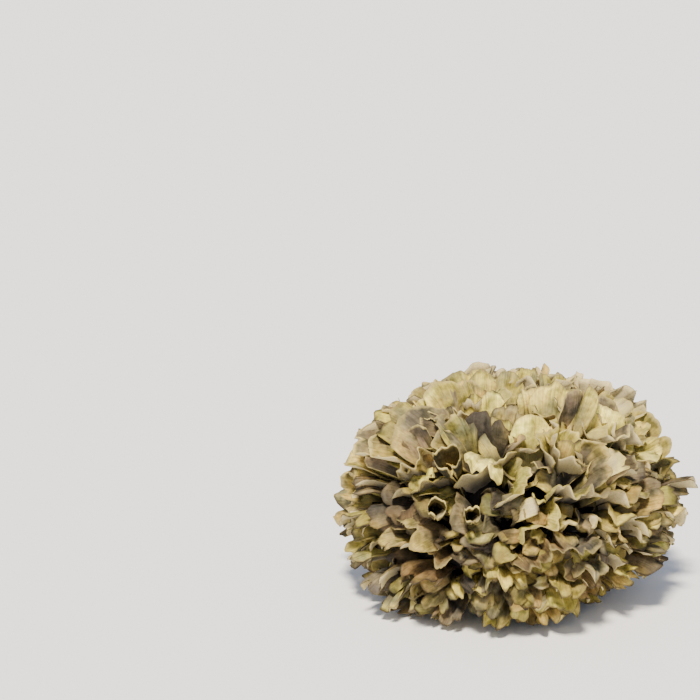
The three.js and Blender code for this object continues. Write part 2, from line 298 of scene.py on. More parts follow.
fan_numbers = random_numbers(SEED, FAN_DRAWS * len(CROWN_FANS))
fans = lay_fans(CROWN_FANS, fan_numbers)
print(len(CROWN_FANS), "crown fans, the longest", round(fans["length"].max()), "mm")

# %% [markdown]
# ## The caps that grow by rule
#
# From the crown to the hem each cap takes its place by the golden angle, and the least crowded of its
# random lies there. The first caps find the crown fans in their way, and nine hollows too, so the head
# keeps the deep dark gaps of a real one.

# %% The rule's numbers
CROWN_POLAR = 0.07  # radians from straight up to the first cap
CROWDING_DOWNWARDS = 0.8  # under 1, caps stand closer towards the hem
CROWN_GATHERING, HEM_GATHERING = 0.45, 0  # how far a root moves to its branch
CROWN_INWARD, HEM_INWARD = 0.8, 0.1  # how far upper faces turn to the middle of their rosette
INWARD_FADE = 0.4  # under 1, that fades fast below the crown
CROWN_SIZE, HEM_SIZE = 1.35, 0.75  # of caps there, against a middling one
STRAY = 0.1  # radians that a lie may be off its place
SMALLEST_RING = 0.3  # near the top, a lie strays round the head as on a ring of this radius
CUP, TWIST, WAVE_COUNT = (-0.1, 0.5), (-0.2, 0.2), (3, 5.5)
DRAWS_FOR_A_LIE = 10
CAP_HALF_WIDTH = 15.5  # of a middling cap

MAIN_RULE = dict(
    count=172,  # caps
    tries=60,  # lies that each cap may choose from
    neighbour_distance=70,  # caps further apart than this don't crowd each other
    half_width=(0.75 * CAP_HALF_WIDTH, 1.25 * CAP_HALF_WIDTH),
    hem_polar=HEM_POLAR,
    reach=(0.9, 1.02),  # where tips end, as a share of the head's reach
    root_share=ROOT_SHARE,  # of the way out to the tip, where the root is
    skyward=0.8,  # how far upper faces turn to the sky
    curl=(0.2, 1.5),  # radians from root to rim, at the crown
    droop=0.9,  # radians more at the hem
    roll=(0.5, 0.4),  # radians either way about its length, at the crown and at the hem
    wave=(2, 4.5),  # height of its folds
)


def numbers_for(rule):
    """How many random numbers a rule takes: one for a cap's size and ten for each of its lies."""
    return rule["count"] * (1 + rule["tries"] * DRAWS_FOR_A_LIE)


print("the rule draws", numbers_for(MAIN_RULE), "numbers for", MAIN_RULE["count"], "caps")


# %% Growing caps
def draw_lies(draws, share, azimuth, half_width, rule):
    """Lies for one cap, one for each row of draws. Share is its place from the crown to the hem."""
    polar_cos = lerp(math.cos(CROWN_POLAR), math.cos(rule["hem_polar"]), share ** CROWDING_DOWNWARDS)
    polar = math.acos(polar_cos)
    tip = point_on_head(
        azimuth + lerp(-STRAY, STRAY, draws[:, 0]) / max(SMALLEST_RING, math.sin(polar)),
        polar + lerp(-STRAY, STRAY, draws[:, 1]),
        lerp(*rule["reach"], draws[:, 2]),
    )
    distance = np.linalg.norm(tip[:, None] - branch_tips[None], axis=-1)
    branch = distance.argmin(1)
    gathering = lerp(CROWN_GATHERING, HEM_GATHERING, share)
    inward = unit(branch_tips[branch] - tip)
    roll = lerp(*rule["roll"], share)
    root = towards(tip, rule["root_share"])
    return lay_caps(
        root + (branch_bases[branch] - root) * gathering,
        tip,
        inward * lerp(CROWN_INWARD, HEM_INWARD, share ** INWARD_FADE) + (0, 0, rule["skyward"]),
        lerp(-roll, roll, draws[:, 3]),
        half_width=np.full(len(draws), half_width),
        curl=lerp(*rule["curl"], draws[:, 4]) + rule["droop"] * share,
        cup=lerp(*CUP, draws[:, 5]),
        wave=lerp(*rule["wave"], draws[:, 6]),
        wave_count=lerp(*WAVE_COUNT, draws[:, 7]),
        wave_phase=lerp(0, 2 * math.pi, draws[:, 8]),
        twist=lerp(*TWIST, draws[:, 9]),
    )


def grow(numbers, taken, rule):
    """Caps spread by the golden angle from the crown down, each the least crowded of its lies."""
    grown = []
    for i, own in enumerate(numbers.reshape(rule["count"], -1)):
        share = (i + 0.5) / rule["count"]
        half_width = lerp(*rule["half_width"], own[0]) * lerp(CROWN_SIZE, HEM_SIZE, share)
        draws = own[1:].reshape(rule["tries"], DRAWS_FOR_A_LIE)
        lies = draw_lies(draws, share, i * GOLDEN_ANGLE, half_width, rule)
        feelers = feelers_of(lies)
        crowd = crowding(feelers, taken, rule["neighbour_distance"])
        best = crowd.argmin()
        taken = np.concatenate([taken, feelers[best:best + 1]])
        grown.append({"crowd": crowd[best], **{name: value[best] for name, value in lies.items()}})
    return {name: np.array([cap[name] for cap in grown]) for name in grown[0]}, taken


# %% The main caps
FAN_CLEARANCE = 14  # other caps keep this far from a crown fan's face
HOLLOW_DEPTH = 0.4  # of the way out, the bottom of a hollow
# places that caps leave open, as deep dark gaps
HOLLOWS = [
    (-100, -43, 96), (-56, -94, 94), (27, -91, 117), (-58, -101, 49),
    (-87, -79, 50), (104, 40, 84), (20, 112, 80), (-70, 88, 70), (60, 90, 100),
]

fan_feelers = feelers_of(fans)
hollow_depths = np.linspace(HOLLOW_DEPTH, 1, fan_feelers.shape[1])
hollows = np.array([[towards(np.array(hollow), depth) for depth in hollow_depths] for hollow in HOLLOWS])
taken = np.concatenate([fan_feelers, fan_feelers + fans["up"][:, None] * FAN_CLEARANCE, hollows])
main_numbers = random_numbers(SEED, len(fan_numbers) + numbers_for(MAIN_RULE))[len(fan_numbers):]
main_caps, taken = grow(main_numbers, taken, MAIN_RULE)
print(len(main_caps["length"]), "caps by rule; the last has its root at", np.round(main_caps["root"][-1], 2))

# %% [markdown]
# ## Funnels and a fuller crown
#
# Where the two sides of a young cap meet, it grows into a funnel. A funnel could be a cone, but a blade
# that is rolled up keeps the skin, the folds and the ragged lip of its neighbours. Three of them stand
# in front: the first takes the place of a solid fan, and two smaller ones look out below it. Two narrow
# fans at the top would stand like posts alone, so seven more caps fill the crown round them.

# %% Funnels and a fuller crown
SOLID_FUNNEL = 12  # the row of the crown fan that the first funnel replaces
FUNNEL_SEED, CLUSTER_SEED = 9, 10
# caps that roll up into funnels, in rows like the crown fans'
FUNNELS = [
    ((-50, -74, 129), (-33, -56, 82), (-100, 20), 26, -0.5, 0),
    ((-55, -103, 103), (-57, -64, 82), (-90, -55), 18, 0.1, 0),
    ((-33, -104, 98), (-36, -66, 78), (-80, -55), 15, 0.1, 0),
]
# more caps among the crown fans, in the same rows
CROWN_CLUSTER = [
    ((20, 3, 149), (12, -2, 95), (-90, 20), 11, 1.0, 0.4),
    ((36, 6, 147), (20, 2, 95), (-70, 25), 10, 1.1, 0.4),
    ((4, 30, 149), (2, 18, 95), (-100, 20), 11, 0.8, 0.3),
    ((20, 35, 148), (8, 22, 95), (100, 20), 12, 0.9, 0.3),
    ((37, 27, 146), (18, 16, 95), (30, 20), 11, 0.9, 0.3),
    ((-34, 4, 149), (-20, 3, 92), (-95, 20), 14, 0.8, 0.3),
    ((-48, -22, 137), (-30, -16, 90), (-85, 30), 12, 0.9, 0.3),
]
TALL_CAP = 4  # a cap that stands beside the crown fans, as bright and as finely folded as they are
TALLER = 3  # mm that it is longer than its solid one
TALL_WAVE, TALL_WAVE_COUNT = 2.8, 7

fans = {name: np.delete(value, SOLID_FUNNEL, 0) for name, value in fans.items()}
funnels = lay_fans(FUNNELS, random_numbers(FUNNEL_SEED, FAN_DRAWS * len(FUNNELS)))
cluster = lay_fans(CROWN_CLUSTER, random_numbers(CLUSTER_SEED, FAN_DRAWS * len(CROWN_CLUSTER)))
main_caps["length"][TALL_CAP] += TALLER
main_caps["wave"][TALL_CAP] = TALL_WAVE
main_caps["wave_count"][TALL_CAP] = TALL_WAVE_COUNT
kinds = (fans, True, False), (funnels, False, True), (main_caps, False, False), (cluster, False, False)
for caps, bright, rolled in kinds:
    caps.update(bright=np.full(len(caps["length"]), bright), rolled=np.full(len(caps["length"]), rolled))
main_caps["bright"][TALL_CAP] = True
main_caps = {name: np.concatenate([caps[name] for caps, _, _ in kinds]) for name in fans}
print(len(main_caps["length"]), "large caps in all,", main_caps["rolled"].sum(), "of them funnels")

# %% [markdown]
# ## Small caps in the gaps
#
# A real head has young caps between the grown ones, most of them low down, where they droop and look
# like small leaves. They could be scattered on the core, but then they would cut through the caps above.
# So they follow the same rule, with another seed, a shorter reach and narrower blades. The most crowded
# quarter is left out, and so are those that would stick out or close a gap.

# %% Growing the small caps
YOUNG_SEED = 7
YOUNG_RULE = dict(
    count=900,
    tries=12,
    neighbour_distance=36,
    half_width=(4, 9),
    hem_polar=2.15,
    reach=(0.84, 1.0),
    root_share=0.66,
    skyward=0.8,
    curl=(0.9, 2.6),
    droop=1.2,
    roll=(1.2, 1.4),
    wave=(0.8, 2.4),
)
ROOMY_SHARE = 0.75  # of them that have room enough to stay
STICK_OUT = 1.04  # how far a young cap may reach, as a share of the head's own reach
HOLLOW_RADIUS = 17  # young tips keep this far from the middle of a gap
# smaller gaps, which only the young caps leave open
SMALL_HOLLOWS = [
    (-46, -82, 118), (-21, -109, 90), (50, -96, 100), (25, -106, 34), (-109, -42, 78),
    (-14, -92, 117), (-93, -59, 93), (-80, -88, 63), (-41, -92, 113), (39, -92, 116),
]

young_caps, taken = grow(random_numbers(YOUNG_SEED, numbers_for(YOUNG_RULE)), taken, YOUNG_RULE)
roomy = young_caps["crowd"] < np.quantile(young_caps["crowd"], ROOMY_SHARE)
from_waist = feelers_of(young_caps) - (0, 0, WAIST_HEIGHT)
reached = np.linalg.norm(from_waist, axis=-1) / head_reach(unit(from_waist))
roomy &= reached.max(1) < STICK_OUT
young_tips = young_caps["root"] + young_caps["along"] * young_caps["length"][:, None]
for hollow in HOLLOWS + SMALL_HOLLOWS:
    roomy &= np.linalg.norm(young_tips - hollow, axis=1) > HOLLOW_RADIUS
young_caps = {name: value[roomy] for name, value in young_caps.items()}
young_caps.update(bright=np.full(roomy.sum(), False), rolled=np.full(roomy.sum(), False))
print(roomy.sum(), "young caps of", YOUNG_RULE["count"])

# %% [markdown]
# ## Nodes, sums and colours
#
# Every tree in this notebook, of geometry or of shading, is built with one small function that adds a
# node, sets what it is told to set, and links what it is given. Long sums are written as a table, one
# row for each step, because a table reads like the algebra it stands for. Colours are written as sRGB
# hex, the way a paint chart gives them, and turned to the linear values that Blender mixes light in.

# %% One function for nodes, one for colours
def linear(hex_colour):
    channels = [int(hex_colour[i:i + 2], 16) / 255 for i in (1, 3, 5)]
    return [c / 12.92 if c <= 0.04045 else ((c + 0.055) / 1.055) ** 2.4 for c in channels] + [1]


def add(tree, kind, inputs=None, stops=(), **settings):
    """A node of that kind. An input is a socket to link from, or a value for its default. Stops are
    the places and colours of a colour ramp, which starts with two of its own."""
    node = tree.nodes.new(kind)
    for name, value in settings.items():
        setattr(node, name, value)
    for key, value in (inputs or {}).items():
        if isinstance(value, bpy.types.NodeSocket):
            tree.links.new(value, node.inputs[key])
        else:
            node.inputs[key].default_value = value
    for i, (place, colour) in enumerate(stops):
        stop = node.color_ramp.elements[i] if i < 2 else node.color_ramp.elements.new(place)
        stop.position = place
        stop.color = linear(colour)
    return node


print("middle grey, linear:", [round(c, 3) for c in linear("#808080")])

# %% One function for sums
NUMBER, VECTOR, SPAN, BLEND = "ShaderNodeMath", "ShaderNodeVectorMath", "ShaderNodeMapRange", "ShaderNodeMix"
# for each kind of row: the setting that its third entry gives, the sockets that its terms go to, the
# socket that its result leaves by, and what else it needs. A span's terms are a value, the two ends that
# it runs between, and what it gives at each of them. A blend's are a share and two colours.
ROW_KINDS = {
    NUMBER: ("operation", (0, 1, 2), 0, {}),
    VECTOR: ("operation", (0, 1, 2), 0, {}),
    SPAN: ("interpolation_type", (0, 1, 2, 3, 4), 0, {}),
    BLEND: ("blend_type", (0, 6, 7), 2, {"data_type": "RGBA"}),
}


def work_out(tree, known, table):
    """Adds a node for each row: the result's name, kind, setting, then inputs by name or value."""
    for name, kind, choice, *terms in table:
        setting, sockets, result, always = ROW_KINDS[kind]
        if choice == "SCALE":
            sockets = (0, "Scale")
        values = [known[term] if isinstance(term, str) else term for term in terms]
        node = add(tree, kind, dict(zip(sockets, values)), **always, **{setting: choice})
        known[name] = node.outputs[result]


print("a table may hold", len(ROW_KINDS), "kinds of row")

# %% [markdown]
# ## What every finish reads
#
# Each vertex of a cap carries its own place on the blade, and three random numbers of its cap. The
# finishes read both, so fibrils follow a blade however it is bent, and no two caps have the same tan.
# The patterns could be painted on an image, but noise needs no unwrapping and stays sharp.

# %% What every finish reads
def new_material(name, roughness, specular):
    material = bpy.data.materials.new(name)
    material.use_nodes = True
    shader = material.node_tree.nodes["Principled BSDF"]
    shader.inputs["Roughness"].default_value = roughness
    shader.inputs["Specular IOR Level"].default_value = specular
    return material, material.node_tree, shader


def blade_values(tree):
    """A blade's own places (across, out, side) and its cap's own shade, hue and edge."""
    known = {}
    for attribute, names in (("blade_place", ("across", "out", "side")), ("tint", ("shade", "hue", "edge"))):
        vector = add(tree, "ShaderNodeAttribute", attribute_name=attribute).outputs["Vector"]
        known[attribute] = vector
        known.update(zip(names, add(tree, "ShaderNodeSeparateXYZ", {0: vector}).outputs))
    known["spot"] = add(tree, "ShaderNodeTexCoord").outputs["Object"]
    return known


# %% [markdown]
# ## Cap skin
#
# The upper face of a cap is a dry, faintly felted skin, tan to ochre, with growth zones and fine
# fibrils that run from the root to the rim. It is matte: a roughness near 0.8 and a low specular level
# give a soft sheen at most. Noise picks between the tans, and old low caps age to rust. Towards the
# root the skin is painted darker and greyer as painted shade, and low caps are painted a little lighter
# as painted light. A few caps are bleached, and the margin is pale, as thin young flesh is, or dark
# where it has dried.

# %% Cap skin: felt, fibrils and growth zones
PATCH_MM = 30  # patches of one tan
MOTTLE_MM = 4  # felted mottling, coarser than the real felt, which would be too fine to show
SCUFF_MM = 11  # dark worn places
RUST_MM = 45  # patches that have aged to rust
FIBRILS_ACROSS = 22  # over a half blade, about 0.7 mm each on a middling cap
FIBRILS_OUT = 2.5  # from root to rim, so one fibril runs for about 0.4 of the way
ZONES_OUT = 9  # growth zones from root to rim
ZONES_ACROSS = 1.5  # and how often a zone breaks over a half blade
OWN_PATTERN = 40.0  # every cap reads its own part of the noise, this many times its tint away

skin, tree, shader = new_material("dry felted cap skin", roughness=0.8, specular=0.2)
known = blade_values(tree)
known["height"] = add(tree, "ShaderNodeSeparateXYZ", {0: known["spot"]}).outputs["Z"]
noises = (
    ("patches", PATCH_MM, 2.0),
    ("mottle", MOTTLE_MM, 4.0),
    ("scuffs", SCUFF_MM, 3.0),
    ("rust", RUST_MM, 1.0),
)
stretches = ("fibrils", (FIBRILS_ACROSS, FIBRILS_OUT, 0.0)), ("zones", (ZONES_ACROSS, ZONES_OUT, 0.0))
for name, size_mm, detail in noises:
    known[name] = add(tree, "ShaderNodeTexNoise", {
        "Vector": known["spot"], "Scale": METRE_MM / size_mm, "Detail": detail,
    }).outputs["Fac"]
work_out(tree, known, [("own", VECTOR, "SCALE", "tint", OWN_PATTERN)])
for name, stretch in stretches:
    work_out(tree, known, [
        ("stretched", VECTOR, "MULTIPLY", "blade_place", stretch),
        ("strands", VECTOR, "ADD", "stretched", "own"),
    ])
    known[name] = add(tree, "ShaderNodeTexNoise", {
        "Vector": known["strands"], "Scale": 1.0, "Detail": 2.0,
    }).outputs["Fac"]
print("noises of the skin, mm:", {name: size_mm for name, size_mm, _ in noises})

# %% Cap skin: how dark it is
work_out(tree, known, [
    # fine grain, from zones, fibrils and felt
    ("zoned", NUMBER, "MULTIPLY_ADD", "zones", 0.7, -0.43),
    ("grain", NUMBER, "MULTIPLY_ADD", "fibrils", 1.1, "zoned"),
    ("grain 2", NUMBER, "MULTIPLY_ADD", "mottle", 1.6, "grain"),
    # each cap's own shade, darker where it is scuffed
    ("depth", NUMBER, "MULTIPLY_ADD", "shade", 0.56, 0.45),
    ("scuffed", NUMBER, "MULTIPLY_ADD", "scuffs", -3.2, 2.55),
    ("scuffed 2", NUMBER, "MINIMUM", "scuffed", 1.0),
    ("scuffed 3", NUMBER, "MAXIMUM", "scuffed 2", 0.45),
    ("depth 2", NUMBER, "MULTIPLY", "depth", "scuffed 3"),
    # painted shade: darker towards the root, where its neighbours shade it
    ("rooted", NUMBER, "MULTIPLY_ADD", "out", 1.05, 0.1),
    ("rooted 2", NUMBER, "MINIMUM", "rooted", 1.0),
    ("depth 3", NUMBER, "MULTIPLY", "depth 2", "rooted 2"),
    ("tone", NUMBER, "MULTIPLY", "depth 3", "grain 2"),
    # painted light: low caps are painted a little lighter
    ("paler below", SPAN, "LINEAR", "height", 20 * MM, 85 * MM, 1.17, 1.0),
    ("tone 2", NUMBER, "MULTIPLY", "tone", "paler below"),
])

# %% Cap skin: its tans
work_out(tree, known, [
    ("patchy", NUMBER, "MULTIPLY_ADD", "patches", 1.7, -0.62),
    ("tan", NUMBER, "MULTIPLY_ADD", "hue", 0.5, "patchy"),
    # rust in patches, strong near the hem and faint at the crown
    ("low", SPAN, "LINEAR", "height", 20 * MM, 130 * MM, 0.7, 0.1),
    ("rusty", SPAN, "LINEAR", "rust", 0.45, 0.65, 0.0, 1.0),
    ("rust share", NUMBER, "MULTIPLY", "low", "rusty"),
    # a faint cast, from warm to green
    ("cast share", NUMBER, "MULTIPLY_ADD", "scuffs", 1.2, -0.5),
    ("cast share 2", NUMBER, "MULTIPLY_ADD", "hue", 0.8, "cast share"),
    # painted shade: greyer towards the root
    ("root grey", NUMBER, "MULTIPLY_ADD", "rooted 2", -1.1, 1.1),
])
known["tans"] = add(
    tree, "ShaderNodeValToRGB", {"Fac": known["tan"]},
    [(0.1, "#57544B"), (0.35, "#847B5C"), (0.6, "#C2AA5E"), (0.9, "#EFD887")],
).outputs["Color"]
known["cast"] = add(
    tree, "ShaderNodeValToRGB", {"Fac": known["cast share 2"]},
    [(0.05, "#FFF0E6"), (0.35, "#FFFCF0"), (0.65, "#F7FFE8"), (0.95, "#F0FFCC")],
).outputs["Color"]
work_out(tree, known, [
    ("aged tans", BLEND, "MIX", "rust share", "tans", linear("#987B43")),
    ("cast tans", BLEND, "MULTIPLY", 1.0, "aged tans", "cast"),
    # painted shade: the grey that the tans turn to near the root
    ("greyed tans", BLEND, "MIX", "root grey", "cast tans", linear("#69665F")),
    ("toned", VECTOR, "SCALE", "greyed tans", "tone 2"),
])

# %% Cap skin: bleached caps, the margin and the felt
FELT_MM = 1.0  # how high the grain stands
work_out(tree, known, [
    # the caps with the highest hue are bleached, in blotches
    ("pale", SPAN, "LINEAR", "hue", 0.93, 0.94, 0.0, 1.0),
    ("blotchy", NUMBER, "MULTIPLY_ADD", "scuffs", 1.6, -0.35),
    ("bleached", NUMBER, "MULTIPLY", "pale", "blotchy"),
    ("bleached tans", BLEND, "MIX", "bleached", "toned", linear("#E0CCA4")),
    # a thin margin that wanders along the rim, pale where it is young and dark where it has dried
    ("sideways", NUMBER, "ABSOLUTE", "across"),
    ("edgeward", NUMBER, "MAXIMUM", "sideways", "out"),
    ("wander", NUMBER, "MULTIPLY_ADD", "mottle", 0.06, "edgeward"),
    ("wander 2", NUMBER, "MULTIPLY_ADD", "scuffs", 0.12, "wander"),
    ("margin", SPAN, "LINEAR", "wander 2", 1.05, 1.1, 0.0, 1.0),
    ("dry", NUMBER, "ADD", "edge", "low"),
    ("dried", SPAN, "LINEAR", "dry", 0.3, 0.9, 0.0, 1.0),
    ("margin colour", BLEND, "MIX", "dried", linear("#CFBB74"), linear("#4A3F2E")),
    ("skin colour", BLEND, "MIX", "margin", "bleached tans", "margin colour"),
])
felt = add(tree, "ShaderNodeBump", {"Height": known["grain 2"], "Strength": 0.7, "Distance": FELT_MM * MM})
tree.links.new(known["skin colour"], shader.inputs["Base Color"])
tree.links.new(felt.outputs["Normal"], shader.inputs["Normal"])
print(skin.name, "has", len(tree.nodes), "nodes")

# %% [markdown]
# ## Pore surface
#
# The underside of a cap is a cream sheet of tiny tubes whose mouths show as pores. It scatters light
# softly and has no sheen, so its roughness is 0.9. The pores could be modelled, but there are tens of
# thousands of them, so a Voronoi pattern darkens their mouths with painted shade. Towards the root the
# sheet is painted darker and greyer, as painted shade, and stains lie over it.

# %% Pore surface
PORE_MM = 1.5  # real mouths are 0.5 mm apart, too fine to show at this size, so they are drawn coarser
PORE_DEPTH_MM = 0.5
STAIN_MM = 14

pores, tree, shader = new_material("cream pore surface", roughness=0.9, specular=0.15)
known = blade_values(tree)
known["distance"] = add(tree, "ShaderNodeTexVoronoi", {
    "Vector": known["spot"], "Scale": METRE_MM / PORE_MM,
}).outputs["Distance"]
known["stain"] = add(tree, "ShaderNodeTexNoise", {
    "Vector": known["spot"], "Scale": METRE_MM / STAIN_MM, "Detail": 3.0,
}).outputs["Fac"]
work_out(tree, known, [
    # painted shade: the pore mouths are darker
    ("mouth", SPAN, "LINEAR", "distance", 0.15, 0.5, 0.8, 1.0),
    # painted shade: darker and greyer towards the root, with real stains laid over it
    ("aged", NUMBER, "MULTIPLY_ADD", "out", 1.0, -0.36),
    ("aged 2", NUMBER, "MULTIPLY_ADD", "stain", 0.5, "aged"),
    ("light", NUMBER, "MULTIPLY_ADD", "shade", 0.2, 0.82),
    ("light 2", NUMBER, "MULTIPLY", "light", "mouth"),
])
known["creams"] = add(
    tree, "ShaderNodeValToRGB", {"Fac": known["aged 2"]},
    [(0.15, "#5D5B59"), (0.5, "#A0967E"), (0.85, "#DFCD98")],
).outputs["Color"]
work_out(tree, known, [("lit", VECTOR, "SCALE", "creams", "light 2")])
pitted = add(tree, "ShaderNodeBump", {
    "Height": known["mouth"], "Strength": 0.4, "Distance": PORE_DEPTH_MM * MM,
})
tree.links.new(known["lit"], shader.inputs["Base Color"])
tree.links.new(pitted.outputs["Normal"], shader.inputs["Normal"])
print(pores.name, "has", len(tree.nodes), "nodes")

# %% [markdown]
# ## Flesh
#
# Under the caps everything joins in a branched core of firm flesh. It shows at the cut foot, where it
# is fresh and cream. Deep in the gaps it is painted nearly black, as painted shade. A noise of two tones
# is enough for what little shows, and the height on the foot chooses between fresh flesh and painted
# shade.

# %% Flesh
MARBLING_MM = 9
FRESH_MM, STAINED_MM = 1, 12  # up the foot, where the fresh cut ends and the painted shade is full

flesh, tree, shader = new_material("cut cream flesh", roughness=0.85, specular=0.2)
spot = add(tree, "ShaderNodeTexCoord").outputs["Object"]
marbling = add(tree, "ShaderNodeTexNoise", {
    "Vector": spot, "Scale": METRE_MM / MARBLING_MM, "Detail": 4.0,
}).outputs["Fac"]
known = {"height": add(tree, "ShaderNodeSeparateXYZ", {0: spot}).outputs["Z"]}
for name, stops in (
    ("fresh", [(0.35, "#CDBF98"), (0.65, "#E6DCC0")]),
    # painted shade: near black flesh for deep in the gaps between the caps
    ("stained", [(0.35, "#141212"), (0.65, "#26221F")]),
):
    known[name] = add(tree, "ShaderNodeValToRGB", {"Fac": marbling}, stops).outputs["Color"]
work_out(tree, known, [
    ("shaded", SPAN, "LINEAR", "height", FRESH_MM * MM, STAINED_MM * MM, 0.0, 1.0),
    ("flesh colour", BLEND, "MIX", "shaded", "fresh", "stained"),
])
tree.links.new(known["flesh colour"], shader.inputs["Base Color"])
print("finishes:", skin.name, "/", pores.name, "/", flesh.name)

# %% [markdown]
# ## One cap, grown by Geometry Nodes
#
# A cap is a thin slab, bent and rippled. It could be sculpted, but hundreds of them follow one rule, so
# a tree makes them all. It places one flat slab on each cap's point, makes the copies real, and moves
# every vertex by the rule of the solid caps. To that it adds what shows only close up: a lobed and
# frayed rim with blunt shoulders, finer folds, a wobble, and a margin that rolls down. The points carry
# each cap's numbers as attributes, and Realize Instances hands them on to every vertex of its slab.

# %% The tree's inputs
CAP_INPUTS = [
    ("Steps across", "NodeSocketInt"),
    ("Steps out", "NodeSocketInt"),
    ("Root half thickness", "NodeSocketFloat"),
    ("Rim half thickness", "NodeSocketFloat"),
    ("Wobble", "NodeSocketFloat"),
    ("Rolled margin", "NodeSocketFloat"),
    ("Lobe step", "NodeSocketFloat"),
    ("Skin", "NodeSocketMaterial"),
    ("Pores", "NodeSocketMaterial"),
]
CAP_NUMBERS = (
    "length half_width curl radius cup twist wave wave_count wave_phase pleat drop "
    "lobes lobe_phase notch roll_up"
).split()
CAP_VECTORS = "hub along across up tint".split()


def new_tree(name, inputs):
    """A tree of that name, the identifiers of its inputs by title, and the sockets that give them."""
    tree = bpy.data.node_groups.new(name, "GeometryNodeTree")
    tree.interface.new_socket("Geometry", in_out="INPUT", socket_type="NodeSocketGeometry")
    sockets = {
        title: tree.interface.new_socket(title, in_out="INPUT", socket_type=kind).identifier
        for title, kind in inputs
    }
    tree.interface.new_socket("Geometry", in_out="OUTPUT", socket_type="NodeSocketGeometry")
    return tree, sockets, tree.nodes.new("NodeGroupInput").outputs


cap_tree, cap_sockets, given = new_tree("grow caps", CAP_INPUTS)
print("each cap carries", len(CAP_NUMBERS), "numbers and", len(CAP_VECTORS), "vectors")

# %% Flat slabs on the caps' points
SLAB = (2.0, 1.0, 2.0)  # across from -1 to 1, out by 1, and from -1 on its underside to 1 on top

slab = add(cap_tree, "GeometryNodeMeshCube", {
    "Size": SLAB, "Vertices X": given["Steps across"], "Vertices Y": given["Steps out"], "Vertices Z": 2,
})
root_at_zero = add(cap_tree, "ShaderNodeVectorMath", {
    0: add(cap_tree, "GeometryNodeInputPosition").outputs[0], 1: (0.0, SLAB[1] / 2, 0.0),
})
marked = add(cap_tree, "GeometryNodeStoreNamedAttribute", {
    "Geometry": slab.outputs["Mesh"], "Name": "blade_place", "Value": root_at_zero.outputs[0],
}, data_type="FLOAT_VECTOR", domain="POINT")
copies = add(cap_tree, "GeometryNodeInstanceOnPoints", {
    "Points": given["Geometry"], "Instance": marked.outputs[0],
})
real = add(cap_tree, "GeometryNodeRealizeInstances", {"Geometry": copies.outputs[0]})
known = {
    "root thickness": given["Root half thickness"], "rim thickness": given["Rim half thickness"],
    "wobble size": given["Wobble"], "roll size": given["Rolled margin"], "lobe step": given["Lobe step"],
}
for names, data_type in ((CAP_NUMBERS, "FLOAT"), (CAP_VECTORS + ["blade_place"], "FLOAT_VECTOR")):
    for name in names:
        known[name] = add(
            cap_tree, "GeometryNodeInputNamedAttribute", {"Name": name}, data_type=data_type
        ).outputs["Attribute"]
blade_place = add(cap_tree, "ShaderNodeSeparateXYZ", {0: known["blade_place"]})
known.update(zip(("u", "v", "side"), blade_place.outputs))

# %% The outline of a cap: its width, its lobes and its frayed rim
LOBE_BLUNTNESS = 0.4  # under 1, lobes are broad and the clefts between them narrow
OWN_SHAPE = 97.0  # every cap reads its own part of the noise, this many times its tint away
FRAY_ACROSS, FRAY_OUT = 4.5, 1.5  # ragged places over a half blade, and from root to rim
FRAY = 0.28  # of the half width, from the longest to the shortest place of the rim

work_out(cap_tree, known, [
    ("uu", NUMBER, "MULTIPLY", "u", "u"),
    ("vv", NUMBER, "MULTIPLY", "v", "v"),
    ("vvv", NUMBER, "MULTIPLY", "vv", "v"),
    # narrow at the root, full width at the rim
    ("widening", NUMBER, "MULTIPLY_ADD", "v", -2.0, 3.0),
    ("widening 2", NUMBER, "MULTIPLY", "widening", "vv"),
    ("wider", NUMBER, "SUBTRACT", "half_width", float(ROOT_HALF_WIDTH)),
    ("width", NUMBER, "MULTIPLY_ADD", "widening 2", "wider", float(ROOT_HALF_WIDTH)),
    # clefts between the lobes
    ("lobe turn", NUMBER, "MULTIPLY_ADD", "lobes", "u", "lobe_phase"),
    ("lobe cos", NUMBER, "COSINE", "lobe turn"),
    ("lobe abs", NUMBER, "ABSOLUTE", "lobe cos"),
    ("lobe", NUMBER, "POWER", "lobe abs", LOBE_BLUNTNESS),
    ("cleft", NUMBER, "SUBTRACT", 1.0, "lobe"),
    ("cleft 2", NUMBER, "MULTIPLY", "cleft", "notch"),
    ("cut back", NUMBER, "MULTIPLY", "cleft 2", "vvv"),
    ("reach", NUMBER, "SUBTRACT", 1.0, "cut back"),
    ("grown", NUMBER, "MULTIPLY", "length", "v"),
    ("grown 2", NUMBER, "MULTIPLY", "grown", "reach"),
    # where this cap reads the noise that frays its rim
    ("own tint", VECTOR, "SCALE", "tint", OWN_SHAPE),
    ("rim place", VECTOR, "MULTIPLY", "blade_place", (FRAY_ACROSS, FRAY_OUT, 0.0)),
    ("rim place 2", VECTOR, "ADD", "rim place", "own tint"),
])
known["ragged"] = add(
    cap_tree, "ShaderNodeTexNoise", {"Vector": known["rim place 2"], "Scale": 1.0, "Detail": 3.0}
).outputs["Fac"]
work_out(cap_tree, known, [
    ("uneven", NUMBER, "SUBTRACT", "ragged", 0.5),
    ("fray", NUMBER, "MULTIPLY", "uneven", "half_width"),
    ("fray 2", NUMBER, "MULTIPLY", "fray", "vvv"),
    ("grown 3", NUMBER, "MULTIPLY_ADD", "fray 2", -FRAY, "grown 2"),
    # shoulders fall back by the fourth power of u, blunter than the solid caps' square
    ("blunt", NUMBER, "MULTIPLY", "uu", "uu"),
    ("shoulder", NUMBER, "MULTIPLY", "blunt", "vv"),
    ("shoulder 2", NUMBER, "MULTIPLY", "shoulder", "half_width"),
    ("shoulder 3", NUMBER, "MULTIPLY", "shoulder 2", "drop"),
    ("y", NUMBER, "SUBTRACT", "grown 3", "shoulder 3"),
])

# %% The lift of a cap: its folds, dish and thickness, and its roll if it is a funnel
FINE_FOLDS = 2.7  # fine folds for each of a cap's own

